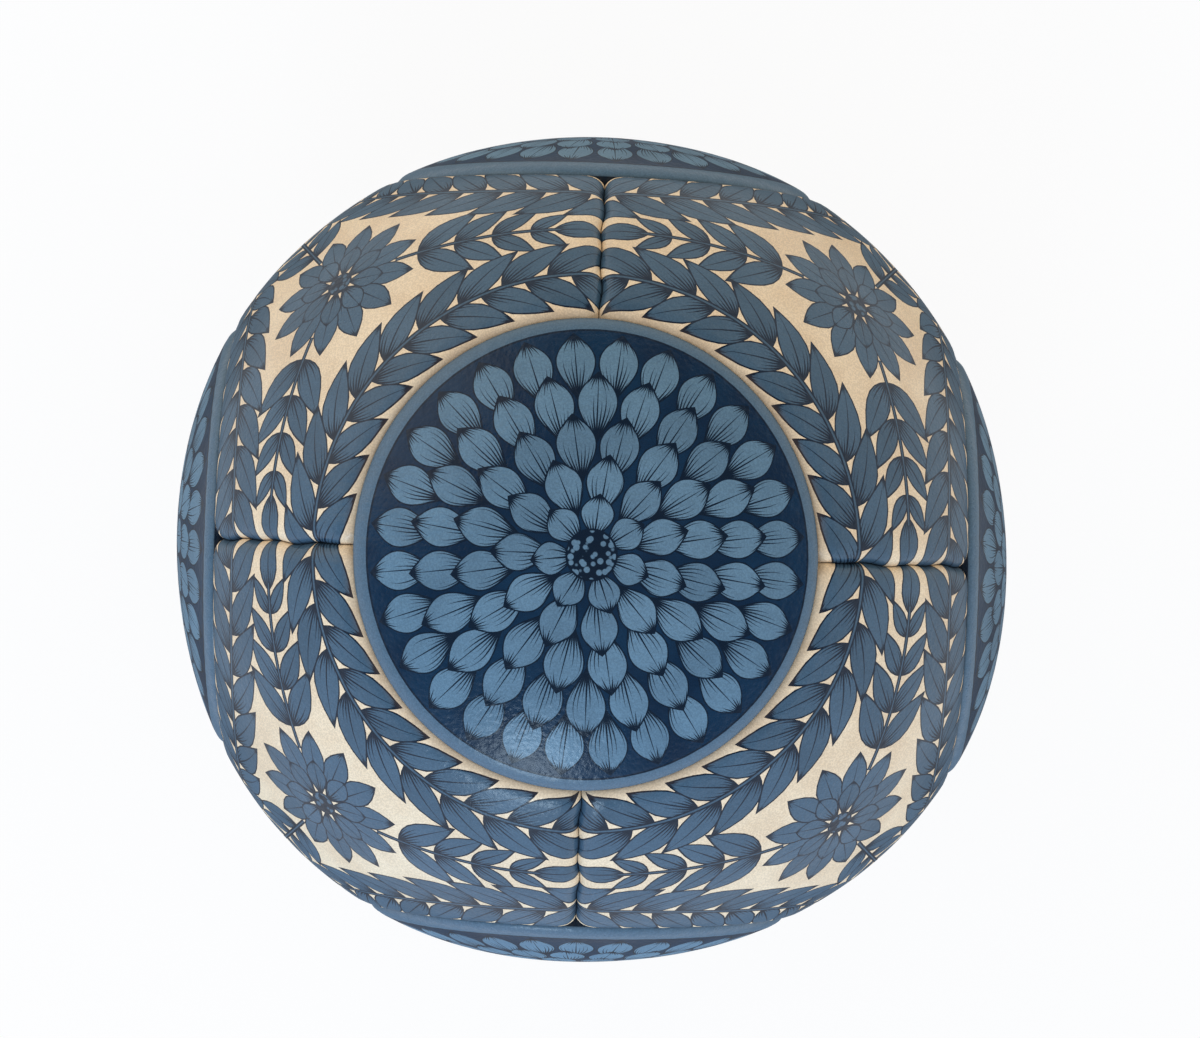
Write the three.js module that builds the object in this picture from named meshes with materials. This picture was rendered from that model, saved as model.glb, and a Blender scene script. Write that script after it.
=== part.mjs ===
// Fourteen-panel sewn football: six round caps and eight three-cornered panels, each backed by cloth,
// sewn inside out round a rubber bladder with a needle valve.
// Millimetres, +Z up, origin at the centre of the ball. The valve is in the middle of the back cap, on +Y.

import * as THREE from 'three';

// Driving dimensions of the panels
const BALL_RADIUS = 110; // mean radius over the crowns of the panels
const CAP_DIP = 0.6; // a cap's crown lies this far inside the mean radius
const CORNER_RISE = 0.6; // a corner panel's crown stands this far outside it
const CAP_ARC_RADIUS = 58.5; // from the middle of a cap to its seam, along the ball
const SEAM_DEPTH = 2; // the seam line below the mean radius
const EDGE_ROLL = 5; // width of the rounded edge beside a seam
const SEAM_ALLOWANCE = 3.2; // how far the turned-in flange reaches below the seam line
const FLANGE_THICKNESS = 1.4;
const SKIN_THICKNESS = 2.6;
const LINING_THICKNESS = 0.8;
const THREAD_DIAMETER = 1;
const CLEARANCE = 0.3; // between neighbouring pieces

// Driving dimensions of the bladder and the valve
const BLADDER_WALL = 1;
const VALVE_PATCH_RADIUS = 15;
const VALVE_PATCH_THICKNESS = 0.8;
const VALVE_FLANGE_RADIUS = 11;
const VALVE_FLANGE_THICKNESS = 1.6;
const VALVE_RECESS = 0.6; // the valve's outer end lies this far below the cap's crown
const HOUSING_WALL = 1;
const CORE_LENGTH = 18;
const CORE_HEAD_RADIUS = 3.2;
const CORE_HEAD_HEIGHT = 1.6;
const CORE_RIB_RADIUS = 2.5;
const CORE_SHANK_RADIUS = 2.1;
const CORE_RIB_HEIGHT = 1.2;
const CORE_RIB_COUNT = 3;
const NEEDLE_HOLE_RADIUS = 0.5;
const NEEDLE_LEAD_RADIUS = 1.1; // mouth of the cone that guides the needle in
const NEEDLE_LEAD_DEPTH = 1.2;
const NEEDLE_HOLE_DEPTH = 13;

// Facets
const ARC_STEPS = 6; // along each quarter of a cap's seam
const STRAIGHT_STEPS = 3; // along each straight seam
const CROWN_RINGS = [0.7, 0.35]; // rings between a panel's middle (1) and its rolled edge (0)
const ROLL_RING = 0.3; // place of the ring that rounds the edge, as a share of EDGE_ROLL
const CAP_STEPS = 4 * ARC_STEPS;
const BLADDER_BANDS = 8;
const VALVE_STEPS = 16;

// Radii worked out from those, from the outside in
const CAP_CROWN = BALL_RADIUS - CAP_DIP;
const CORNER_CROWN = BALL_RADIUS + CORNER_RISE;
const SEAM_RADIUS = BALL_RADIUS - SEAM_DEPTH;
const FLANGE_FOOT = SEAM_RADIUS - SEAM_ALLOWANCE;
const THREAD_RADIUS = FLANGE_FOOT - CLEARANCE - THREAD_DIAMETER / 2;
const STACK_UNDER_CROWN = SKIN_THICKNESS + CLEARANCE + LINING_THICKNESS;
const PATCH_TOP = facetFloor(CAP_CROWN - STACK_UNDER_CROWN) - CLEARANCE;
const PATCH_FOOT = PATCH_TOP - VALVE_PATCH_THICKNESS;
const VALVE_FLANGE_TOP = PATCH_FOOT - CLEARANCE;
const BLADDER_RADIUS = Math.min(
  THREAD_RADIUS - THREAD_DIAMETER / 2 - CLEARANCE,
  VALVE_FLANGE_TOP - VALVE_FLANGE_THICKNESS - CLEARANCE,
);
const VALVE_FLANGE_FOOT = BLADDER_RADIUS + CLEARANCE;

// Valve heights on the +Y axis and radii round it
const VALVE_TOP = CAP_CROWN - VALVE_RECESS;
const CORE_FOOT = VALVE_TOP - CORE_LENGTH;
const BORE_RADIUS = CORE_RIB_RADIUS + CLEARANCE;
const HEAD_SEAT_RADIUS = CORE_HEAD_RADIUS + CLEARANCE;
const STEM_RADIUS = HEAD_SEAT_RADIUS + HOUSING_WALL;
const STEM_HOLE_RADIUS = STEM_RADIUS + CLEARANCE;

// Angles on the ball, from lengths along it
const CAP_ANGLE = CAP_ARC_RADIUS / BALL_RADIUS;
const ROLL_ANGLE = EDGE_ROLL / BALL_RADIUS;
const FLANGE_INSIDE = CLEARANCE / 2 + FLANGE_THICKNESS; // its inner face, from the seam's middle
const LINING_EDGE = FLANGE_INSIDE + CLEARANCE;

// How low the flat facets of a faceted cap lie at a given corner radius.
function facetFloor(radius) {
  const widestStep = ((1 - CROWN_RINGS[0]) * CAP_ARC_RADIUS) / BALL_RADIUS;
  return radius * Math.cos(widestStep / 2);
}

// A place on a panel: near its edge, by distance from the seam, or inside, by its share of the way from
// the rolled edge (0) to the middle (1).
const nearEdge = (distance, radius) => ({ offset: distance / BALL_RADIUS, inward: 0, radius });
const inside = (share, radius) => ({ offset: ROLL_ANGLE, inward: share, radius });

// Outer radius of a panel at a distance from its seam: a quarter ellipse that rises to the crown.
function rolledRadius(crown, distance) {
  const rest = 1 - distance / EDGE_ROLL;
  return SEAM_RADIUS + (crown - SEAM_RADIUS) * Math.sqrt(1 - rest * rest);
}

// The leather: over the crown, down the rolled edge, round the turned-in flange and back inside.
function skinProfile(crown) {
  const rollAt = ROLL_RING * EDGE_ROLL;
  const under = crown - SKIN_THICKNESS;
  const flangeTop = rolledRadius(crown, FLANGE_INSIDE) - SKIN_THICKNESS;
  return [
    ...CROWN_RINGS.map((share) => inside(share, crown)),
    inside(0, crown),
    nearEdge(rollAt, rolledRadius(crown, rollAt)),
    nearEdge(CLEARANCE / 2, SEAM_RADIUS),
    nearEdge(CLEARANCE / 2, FLANGE_FOOT),
    nearEdge(FLANGE_INSIDE, FLANGE_FOOT),
    nearEdge(FLANGE_INSIDE, flangeTop),
    inside(0, under),
    ...CROWN_RINGS.toReversed().map((share) => inside(share, under)),
  ];
}

// The cloth behind the leather, cut to end beside the flange.
function liningProfile(crown) {
  const top = crown - SKIN_THICKNESS - CLEARANCE;
  const edge = rolledRadius(crown, FLANGE_INSIDE) - SKIN_THICKNESS - CLEARANCE;
  return [
    ...CROWN_RINGS.map((share) => inside(share, top)),
    nearEdge(LINING_EDGE, edge),
    nearEdge(LINING_EDGE, edge - LINING_THICKNESS),
    ...CROWN_RINGS.toReversed().map((share) => inside(share, top - LINING_THICKNESS)),
  ];
}

const onMeridian = (radius, angle) => new THREE.Vector2(radius * Math.sin(angle), radius * Math.cos(angle));

// Revolves an outline round +Y. It runs clockwise as listed here, from the outside in, and is turned about
// so that the faces point out.
function revolve(outline, steps) {
  return new THREE.LatheGeometry(outline.toReversed(), steps);
}

// A round panel, with its middle on +Y. With a hole radius, the middle is open for the valve.
function capGeometry(profile, holeRadius = 0) {
  const outline = profile.map(({ offset, inward, radius }) =>
    onMeridian(radius, (CAP_ANGLE - offset) * (1 - inward)));
  const middle = (radius) => onMeridian(radius, Math.asin(holeRadius / radius));
  outline.unshift(middle(profile.at(0).radius));
  outline.push(middle(profile.at(-1).radius));
  if (holeRadius > 0) outline.push(outline[0].clone());
  return revolve(outline, CAP_STEPS);
}

// Directions round a corner panel of the octant where x, y and z are positive, at an angle inside its seams.
// One third is a straight seam from the X cap to the Y cap and a quarter of the Y cap's seam; the others
// follow by turning X to Y to Z.
function cornerRing({ offset, inward }) {
  const capReach = Math.cos(CAP_ANGLE + offset);
  const side = Math.sin(offset);
  const along = Math.sqrt(1 - capReach * capReach - side * side);
  const third = [];
  const seamStart = Math.atan2(along, capReach);
  const seamEnd = Math.atan2(capReach, along);
  for (let i = 0; i < STRAIGHT_STEPS; i++) {
    const turn = THREE.MathUtils.lerp(seamStart, seamEnd, i / STRAIGHT_STEPS);
    third.push(new THREE.Vector3(Math.cos(offset) * Math.cos(turn), Math.cos(offset) * Math.sin(turn), side));
  }
  const arcStart = Math.atan2(side, along);
  const arcEnd = Math.atan2(along, side);
  const arcRadius = Math.hypot(side, along);
  for (let i = 0; i < ARC_STEPS; i++) {
    const turn = THREE.MathUtils.lerp(arcStart, arcEnd, i / ARC_STEPS);
    third.push(new THREE.Vector3(arcRadius * Math.cos(turn), capReach, arcRadius * Math.sin(turn)));
  }
  const turned = third.map(({ x, y, z }) => new THREE.Vector3(z, x, y));
  const turnedTwice = third.map(({ x, y, z }) => new THREE.Vector3(y, z, x));
  const middle = new THREE.Vector3(1, 1, 1).normalize();
  return [...third, ...turned, ...turnedTwice].map((p) => p.lerp(middle, inward).normalize());
}

// Two triangles between a step a-b of one ring and the step c-d of the next, cut along the shorter diagonal,
// so that layers one under the other fold alike.
function splitQuad(points, a, b, c, d) {
  const alongAD = points[a].distanceTo(points[d]) <= points[b].distanceTo(points[c]);
  return alongAD ? [a, c, d, a, d, b] : [a, c, b, b, c, d];
}

// A three-cornered panel: a loft through the rings of its profile, closed at the middle outside and inside.
function cornerGeometry(profile) {
  const middle = new THREE.Vector3(1, 1, 1).normalize();
  const rings = profile.map((place) => cornerRing(place).map((p) => p.multiplyScalar(place.radius)));
  const count = rings[0].length;
  const top = middle.clone().multiplyScalar(profile.at(0).radius);
  const foot = middle.clone().multiplyScalar(profile.at(-1).radius);
  const points = [top, ...rings.flat(), foot];
  const footIndex = points.length - 1;
  const at = (ring, i) => 1 + ring * count + (i % count);
  const faces = [];
  for (let i = 0; i < count; i++) {
    faces.push(0, at(0, i), at(0, i + 1));
    for (let ring = 0; ring < rings.length - 1; ring++) {
      faces.push(...splitQuad(points, at(ring, i), at(ring, i + 1), at(ring + 1, i), at(ring + 1, i + 1)));
    }
    faces.push(at(rings.length - 1, i), footIndex, at(rings.length - 1, i + 1));
  }
  const geometry = new THREE.BufferGeometry().setFromPoints(points).setIndex(faces);
  geometry.computeVertexNormals();
  return geometry;
}

// Three-sided section of a sewing thread, with one side towards the flanges above it.
function threadSection(x, y) {
  const corners = [Math.PI / 6, (5 * Math.PI) / 6, (3 * Math.PI) / 2];
  return corners.map((turn) =>
    new THREE.Vector2(x + (THREAD_DIAMETER / 2) * Math.cos(turn), y + (THREAD_DIAMETER / 2) * Math.sin(turn)));
}

// The thread that sews a cap in, round +Y under the feet of the two flanges.
function capThreadGeometry() {
  const centre = new THREE.Vector2();
  const section = threadSection(0, THREAD_RADIUS).map((p) => p.rotateAround(centre, -CAP_ANGLE));
  return new THREE.LatheGeometry([...section, section[0].clone()], CAP_STEPS);
}

// The path of a straight seam's thread, from beside one cap's thread to beside the next, from +Y to +X.
class StraightSeam extends THREE.Curve {
  getPoint(t, target = new THREE.Vector3()) {
    const end = CAP_ANGLE + (THREAD_DIAMETER + CLEARANCE) / THREAD_RADIUS;
    const turn = THREE.MathUtils.lerp(end, Math.PI / 2 - end, t);
    return target.set(THREAD_RADIUS * Math.sin(turn), THREAD_RADIUS * Math.cos(turn), 0);
  }
}

function straightThreadGeometry() {
  const section = new THREE.Shape(threadSection(0, 0));
  return new THREE.ExtrudeGeometry(section, {
    steps: STRAIGHT_STEPS,
    bevelEnabled: false,
    extrudePath: new StraightSeam(),
  });
}

// The bladder: a round rubber shell, open where the valve stem goes in.
function bladderGeometry() {
  const wall = (radius) => {
    const hole = Math.asin(STEM_HOLE_RADIUS / radius);
    return Array.from({ length: BLADDER_BANDS + 1 }, (_, i) =>
      onMeridian(radius, THREE.MathUtils.lerp(hole, Math.PI, i / BLADDER_BANDS)));
  };
  return revolve([...wall(BLADDER_RADIUS - BLADDER_WALL).toReversed(), ...wall(BLADDER_RADIUS)], CAP_STEPS);
}

// A curved washer round the valve stem, between two radii of the ball.
function patchGeometry() {
  const rim = Math.asin(VALVE_PATCH_RADIUS / PATCH_TOP);
  const hole = (radius) => onMeridian(radius, Math.asin(STEM_HOLE_RADIUS / radius));
  const outline = [hole(PATCH_TOP), onMeridian(PATCH_TOP, rim), onMeridian(PATCH_FOOT, rim), hole(PATCH_FOOT)];
  return revolve([...outline, outline[0].clone()], VALVE_STEPS);
}

// The valve housing: a stem through the cap with a seat for the core's head, and a flange on the bladder.
function housingGeometry() {
  const seat = VALVE_TOP - CORE_HEAD_HEIGHT - CLEARANCE;
  const foot = CORE_FOOT - CLEARANCE;
  const rim = Math.asin(VALVE_FLANGE_RADIUS / VALVE_FLANGE_TOP);
  const beside = (radius) => onMeridian(radius, Math.asin(STEM_RADIUS / radius));
  const outline = [
    new THREE.Vector2(HEAD_SEAT_RADIUS, VALVE_TOP),
    new THREE.Vector2(STEM_RADIUS, VALVE_TOP),
    beside(VALVE_FLANGE_TOP),
    onMeridian(VALVE_FLANGE_TOP, rim),
    onMeridian(VALVE_FLANGE_FOOT, rim),
    beside(VALVE_FLANGE_FOOT),
    new THREE.Vector2(STEM_RADIUS, foot),
    new THREE.Vector2(BORE_RADIUS, foot),
    new THREE.Vector2(BORE_RADIUS, seat),
    new THREE.Vector2(HEAD_SEAT_RADIUS, seat),
  ];
  return revolve([...outline, outline[0].clone()], VALVE_STEPS);
}

// The removable core: a flat head with a needle hole, and a ribbed shank.
function coreGeometry() {
  const headFoot = VALVE_TOP - CORE_HEAD_HEIGHT;
  const pitch = (headFoot - CORE_FOOT) / (CORE_RIB_COUNT + 1);
  const outline = [
    new THREE.Vector2(0, VALVE_TOP - NEEDLE_HOLE_DEPTH),
    new THREE.Vector2(NEEDLE_HOLE_RADIUS, VALVE_TOP - NEEDLE_HOLE_DEPTH),
    new THREE.Vector2(NEEDLE_HOLE_RADIUS, VALVE_TOP - NEEDLE_LEAD_DEPTH),
    new THREE.Vector2(NEEDLE_LEAD_RADIUS, VALVE_TOP),
    new THREE.Vector2(CORE_HEAD_RADIUS, VALVE_TOP),
    new THREE.Vector2(CORE_HEAD_RADIUS, headFoot),
    new THREE.Vector2(CORE_SHANK_RADIUS, headFoot),
  ];
  for (let i = 1; i <= CORE_RIB_COUNT; i++) {
    const rib = headFoot - i * pitch;
    outline.push(new THREE.Vector2(CORE_SHANK_RADIUS, rib + CORE_RIB_HEIGHT / 2));
    outline.push(new THREE.Vector2(CORE_RIB_RADIUS, rib));
    outline.push(new THREE.Vector2(CORE_SHANK_RADIUS, rib - CORE_RIB_HEIGHT / 2));
  }
  outline.push(new THREE.Vector2(CORE_SHANK_RADIUS, CORE_FOOT), new THREE.Vector2(0, CORE_FOOT));
  return revolve(outline, VALVE_STEPS);
}

const finishes = {
  cap: { color: 0x5b7488, roughness: 0.45, metalness: 0 },
  corner: { color: 0xdccfb6, roughness: 0.45, metalness: 0 },
  lining: { color: 0xd9d3c5, roughness: 0.95, metalness: 0 },
  thread: { color: 0x2a2e36, roughness: 0.7, metalness: 0 },
  bladder: { color: 0x2c2a2a, roughness: 0.55, metalness: 0 },
  valve: { color: 0x1f2023, roughness: 0.6, metalness: 0 },
  core: { color: 0x35383d, roughness: 0.65, metalness: 0 },
};

function piece(name, geometry, finish) {
  const mesh = new THREE.Mesh(geometry, new THREE.MeshStandardMaterial(finishes[finish]));
  mesh.name = name;
  return mesh;
}

const ball = new THREE.Group();

// The six caps with their linings and threads, each turned from +Y to its own side of the ball
const sides = {
  right: new THREE.Vector3(1, 0, 0),
  left: new THREE.Vector3(-1, 0, 0),
  back: new THREE.Vector3(0, 1, 0),
  front: new THREE.Vector3(0, -1, 0),
  top: new THREE.Vector3(0, 0, 1),
  bottom: new THREE.Vector3(0, 0, -1),
};
const VALVE_SIDE = 'back';
for (const [side, direction] of Object.entries(sides)) {
  const holeRadius = side === VALVE_SIDE ? STEM_HOLE_RADIUS : 0;
  const cap = new THREE.Group();
  cap.quaternion.setFromUnitVectors(sides.back, direction);
  cap.add(piece(`panel_cap_${side}`, capGeometry(skinProfile(CAP_CROWN), holeRadius), 'cap'));
  cap.add(piece(`lining_cap_${side}`, capGeometry(liningProfile(CAP_CROWN), holeRadius), 'lining'));
  cap.add(piece(`thread_cap_${side}`, capThreadGeometry(), 'thread'));
  ball.add(cap);
}

// The eight corner panels and linings, mirrored from the octant at the right, the back and the top
for (const x of ['right', 'left']) {
  for (const y of ['back', 'front']) {
    for (const z of ['top', 'bottom']) {
      const octant = new THREE.Group();
      octant.scale.set(sides[x].x, sides[y].y, sides[z].z);
      octant.add(piece(`panel_corner_${z}_${y}_${x}`, cornerGeometry(skinProfile(CORNER_CROWN)), 'corner'));
      octant.add(piece(`lining_corner_${z}_${y}_${x}`, cornerGeometry(liningProfile(CORNER_CROWN)), 'lining'));
      ball.add(octant);
    }
  }
}

// The twelve straight seams' threads, one between each two caps that are neighbours
const neighbours = [
  ['top', 'bottom'].flatMap((z) => ['front', 'back'].map((y) => [z, y])),
  ['top', 'bottom'].flatMap((z) => ['right', 'left'].map((x) => [z, x])),
  ['front', 'back'].flatMap((y) => ['right', 'left'].map((x) => [y, x])),
].flat();
for (const [first, second] of neighbours) {
  const seam = piece(`thread_${first}_${second}`, straightThreadGeometry(), 'thread');
  const across = new THREE.Vector3().crossVectors(sides[second], sides[first]);
  seam.applyMatrix4(new THREE.Matrix4().makeBasis(sides[second], sides[first], across));
  ball.add(seam);
}

// The bladder and the valve, on +Y
ball.add(piece('bladder', bladderGeometry(), 'bladder'));
ball.add(piece('valve_patch', patchGeometry(), 'lining'));
ball.add(piece('valve_housing', housingGeometry(), 'valve'));
ball.add(piece('valve_core', coreGeometry(), 'core'));

export default ball;
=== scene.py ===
# Fourteen-panel sewn ball: the printed leather, the valve and the studio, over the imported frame.
# Sizes are in millimetres until a mesh is made, and the scene is in metres.
# The cap that faces the camera is the top one, on +Z. The valve is in the back cap, on +Y.

import math
from functools import partialmethod
from itertools import product

import bpy
import numpy as np
from mathutils import Matrix, Vector
from mathutils.geometry import delaunay_2d_cdt


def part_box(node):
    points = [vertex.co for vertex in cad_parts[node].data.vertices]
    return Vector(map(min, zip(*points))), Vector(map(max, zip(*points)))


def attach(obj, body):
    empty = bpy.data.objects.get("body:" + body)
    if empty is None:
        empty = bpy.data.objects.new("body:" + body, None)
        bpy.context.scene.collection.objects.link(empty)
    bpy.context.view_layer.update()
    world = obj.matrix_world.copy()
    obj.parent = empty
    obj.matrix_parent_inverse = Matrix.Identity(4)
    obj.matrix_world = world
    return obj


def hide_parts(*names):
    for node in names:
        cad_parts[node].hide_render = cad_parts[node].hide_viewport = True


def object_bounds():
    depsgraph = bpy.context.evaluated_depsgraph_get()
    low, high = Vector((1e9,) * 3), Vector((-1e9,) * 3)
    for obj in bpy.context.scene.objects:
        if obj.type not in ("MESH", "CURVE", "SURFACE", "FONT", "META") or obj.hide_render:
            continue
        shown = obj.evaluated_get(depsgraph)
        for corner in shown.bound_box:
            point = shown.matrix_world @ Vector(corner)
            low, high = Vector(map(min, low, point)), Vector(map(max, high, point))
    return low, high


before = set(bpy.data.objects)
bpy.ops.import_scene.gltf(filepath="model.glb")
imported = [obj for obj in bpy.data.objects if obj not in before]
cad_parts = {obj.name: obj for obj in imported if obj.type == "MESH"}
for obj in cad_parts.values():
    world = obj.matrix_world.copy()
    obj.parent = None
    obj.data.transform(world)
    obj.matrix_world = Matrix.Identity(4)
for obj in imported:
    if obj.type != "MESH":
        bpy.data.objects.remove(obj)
cad_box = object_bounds()

MM = 0.001
core_low, core_high = (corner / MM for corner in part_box("valve_core"))

# Panel sizes, as in the frame
CAP_DIP = 0.6
CORNER_RISE = 0.6
CAP_CROWN = cad_box[1].z / MM
BALL_RADIUS = CAP_CROWN + CAP_DIP
CORNER_CROWN = BALL_RADIUS + CORNER_RISE
CAP_ARC_RADIUS = 58.5
CAP_ANGLE = CAP_ARC_RADIUS / BALL_RADIUS
SEAM_DEPTH = 2.0
SEAM_RADIUS = BALL_RADIUS - SEAM_DEPTH
FLANGE_DEPTH = 3.2
FLANGE_FOOT = SEAM_RADIUS - FLANGE_DEPTH
FLANGE_THICKNESS = 1.4
SKIN_THICKNESS = 2.6
CLEARANCE = 0.3
FLANGE_OUTSIDE = 0.05  # nearer to the seam than in the frame: sewn panels all but touch
FLANGE_INSIDE = CLEARANCE / 2 + FLANGE_THICKNESS
EDGE_ROLL = 5.0

# Valve sizes, as in the frame
VALVE_TOP = core_high.y
CORE_FOOT = core_low.y
CORE_HEAD_RADIUS = core_high.x
CORE_HEAD_HEIGHT = 1.6
CORE_RIB_RADIUS = 2.5
CORE_SHANK_RADIUS = 2.1
CORE_RIB_HEIGHT = 1.2
CORE_RIB_COUNT = 3
NEEDLE_HOLE_RADIUS = 0.5
NEEDLE_HOLE_DEPTH = 13.0
NEEDLE_LEAD_RADIUS = 1.1
NEEDLE_LEAD_DEPTH = 1.2
STEM_WALL = 1.0
HEAD_SEAT_RADIUS = CORE_HEAD_RADIUS + CLEARANCE
STEM_RADIUS = HEAD_SEAT_RADIUS + STEM_WALL
STEM_HOLE_RADIUS = STEM_RADIUS + CLEARANCE
BORE_RADIUS = CORE_RIB_RADIUS + CLEARANCE
VALVE_FLANGE_RADIUS = 11.0
VALVE_FLANGE_THICKNESS = 1.6
VALVE_FLANGE_FOOT = -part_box("bladder")[0].y / MM + CLEARANCE
VALVE_FLANGE_TOP = VALVE_FLANGE_FOOT + VALVE_FLANGE_THICKNESS

# Swell and pull of the filled leather
CAP_SHOULDER = CAP_CROWN + 1.1  # the caps are pulled flat: they stand highest beside the seam
CAP_EDGE = SEAM_RADIUS + 0.7  # a cap's edge stands over the corner panels beside it
CAP_EDGE_ROLL = 4.0
CAP_DIP_REACH = 50.0
CORNER_SHOULDER = CORNER_CROWN - 0.2
CORNER_SWELL_REACH = 25.0
VALLEY_DEPTH = 0.9  # the straight seams are drawn in deeper than the round ones
VALLEY_ROLL = 3.0
PUCKER_HEIGHT = 0.07
PUCKER_REACH = 4.5
CAP_PUCKERS = 64  # round a whole cap
STRAIGHT_PUCKERS = 96  # round the whole ball
PIT_DEPTH = 2.6  # hollow where a straight seam runs into a cap's seam
PIT_RADIUS = 1.6
PIT_FLOOR = FLANGE_FOOT + 0.8
HOLE_ROLL = 1.2  # rounding of the leather at the valve hole
HOLE_DROP = 0.5

# Slack of hand sewing
# Out of round: lobes, each with a count round +Z, a height and the bearing of one of its crests
OUT_OF_ROUND = ((2, 0.6, math.radians(-28)), (3, 0.45, math.radians(-17)), (4, 0.45, math.radians(-27)))
TOP_SEAM_SHIFT = (-1.3, -0.2)  # the top cap is sewn a little off its place, along X and Y
TOP_SEAM_GROWTH = 1.2  # and is longer along Y than across
TOP_SEAM_REACH = 29.0
SEAM_WANDER = 0.5  # how far a straight seam strays from its line
SEAM_WANDER_REACH = 7.0
SEAM_WANDER_LENGTHS = (2.3, 5.1)  # lengths of its waves, over 2 pi
UNEVENNESS = 0.16  # height of slow hills and hollows, from waves with counts along X, Y and Z and a phase
UNEVEN_WAVES = ((3.1, 1.7, -2.3, 0.4), (-2.2, 3.7, 1.9, 1.9), (1.3, -2.9, 4.1, 3.1), (5.3, 3.9, 2.7, 5.2))
UNEVEN_FINENESS = 2.2
PRINT_SHIFT = 0.4  # how far the print lies off its place on hand-cut panels
CORNER_PRINT_TURN = math.radians(0.8)
CAP_PRINT_TURN = math.radians(90)

# Sizes of the print
WREATH_RING = 12.0  # distance of a laurel branch from its cap's seam
WREATH_PITCH = 11.0
WREATH_STAGGER = 0.25  # between the leaves on its two sides, as a share of the pitch
WREATH_LEAF = 20.0
WREATH_LEAF_HALF_WIDTH = 4.1
WREATH_LEAF_ANGLE = math.radians(37)
WREATH_LEAF_BEND = 1.6
WREATH_STEM_HALF_WIDTH = 0.75
WREATH_STEM_PAST = 0.15  # how far its stem runs past the seams, as a share of the way between them
LEAST_SCRAP = 5.0  # shorter scraps of leaves are left out at the seams
SPRIG_START = 22.0
SPRIG_PITCH = 9.5
SPRIG_PAIRS = 4
SPRIG_LEAF = 19.0
SPRIG_LEAF_SHRINK = 2.6  # from one pair of leaves to the next
SPRIG_LEAF_SLIMNESS = 0.21
SPRIG_LEAF_ANGLE = math.radians(42)
SPRIG_LEAF_BEND = 1.4
SPRIG_TIP = 15.0
SPRIG_TIP_HALF_WIDTH = 3.6
SPRIG_TIP_BACK = 4.0  # how much nearer than a whole step the leaf at the tip starts
SPRIG_STEM_START = 16.0
SPRIG_STEM_LAP = 2.0
SPRIG_STEM_HALF_WIDTH = 0.65
# Rings of a flower, each with a count of petals, the distance of their feet, length and half width
CORNER_FLOWER = ((12, 3.0, 19.0, 3.9), (8, 2.0, 11.5, 3.4))
CORNER_FLOWER_DISC = 3.6
CAP_FLOWER = (
    (28, 35.5, 18.0, 5.0),
    (22, 25.5, 18.0, 5.0),
    (16, 16.0, 17.5, 5.0),
    (11, 8.0, 16.0, 4.7),
    (7, 3.0, 11.5, 4.2),
)
CAP_FLOWER_DISC = 6.2
LEAF_PEAK = 0.8  # a leaf is widest before its middle, and a petal after it
PETAL_PEAK = 1.3
HATCH_SHARE = 0.5  # how far the hatching runs along a shape
CAP_HATCH_SHARE = 0.75
NO_HATCH = 0.01

# Fineness of the leather's mesh
RING_OFFSETS = (0.2, 0.45, 0.8, 1.3, 2.0, 2.9, 4.0, 5.5)
ARC_STEPS = 64
STRAIGHT_STEPS = 40
HOLE_RING_OFFSETS = (0.25, 0.6, HOLE_ROLL)
HOLE_STEPS = 48
HOLE_MARGIN = 1.0
LEAF_STEPS = 11
DISC_STEPS = 32
STEM_STEP = 2.5
GRID_PITCH = 3.5
BACK_GRID_PITCH = 9.0
NORMAL_STEP = 0.05
WELD = 1e-4

# What a printed shape is, as the leather's shader reads it
LEAF = 1.0
STEM = 2.0
DISC = 3.0
PAST_SEAM = -1.0  # distance from the seam that stands for the turned-in flange

SIDES = {
    "right": (1, 0, 0),
    "left": (-1, 0, 0),
    "back": (0, 1, 0),
    "front": (0, -1, 0),
    "top": (0, 0, 1),
    "bottom": (0, 0, -1),
}
VALVE_SIDE = "back"

draws = np.random.default_rng(14)


# Sheets: flat leather and how it lies on the ball

def turning(angle):
    """The matrix that turns rows of flat points counterclockwise."""
    c, s = math.cos(angle), math.sin(angle)
    return np.array(((c, s), (-s, c)))


def circle(radius, steps):
    """Points round a sheet's middle."""
    turn = np.linspace(0, 2 * math.pi, steps, endpoint=False)
    return radius * np.column_stack((np.cos(turn), np.sin(turn)))


class Sheet:
    """A flat sheet wrapped on the ball about a middle: distances and bearings from the middle are kept."""

    def __init__(self, right, up, out):
        self.axes = np.array((right, up, out), float)

    def on_ball(self, flat):
        """Unit directions from the ball's centre."""
        reach = np.hypot(*flat.T)
        angle = reach / BALL_RADIUS
        spread = np.where(reach > 0, np.sin(angle) / np.maximum(reach, WELD), 0)
        return np.column_stack((flat * spread[:, None], np.cos(angle))) @ self.axes

    def from_ball(self, directions):
        local = directions @ self.axes.T
        side = np.hypot(local[:, 0], local[:, 1])
        angle = np.arctan2(side, local[:, 2])
        stretch = angle * BALL_RADIUS / np.maximum(side, WELD)
        return local[:, :2] * stretch[:, None]


class Flat:
    """Motif coordinates that are the sheet's own."""

    def to_sheet(self, points):
        return points

    def from_sheet(self, flat):
        return flat


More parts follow.
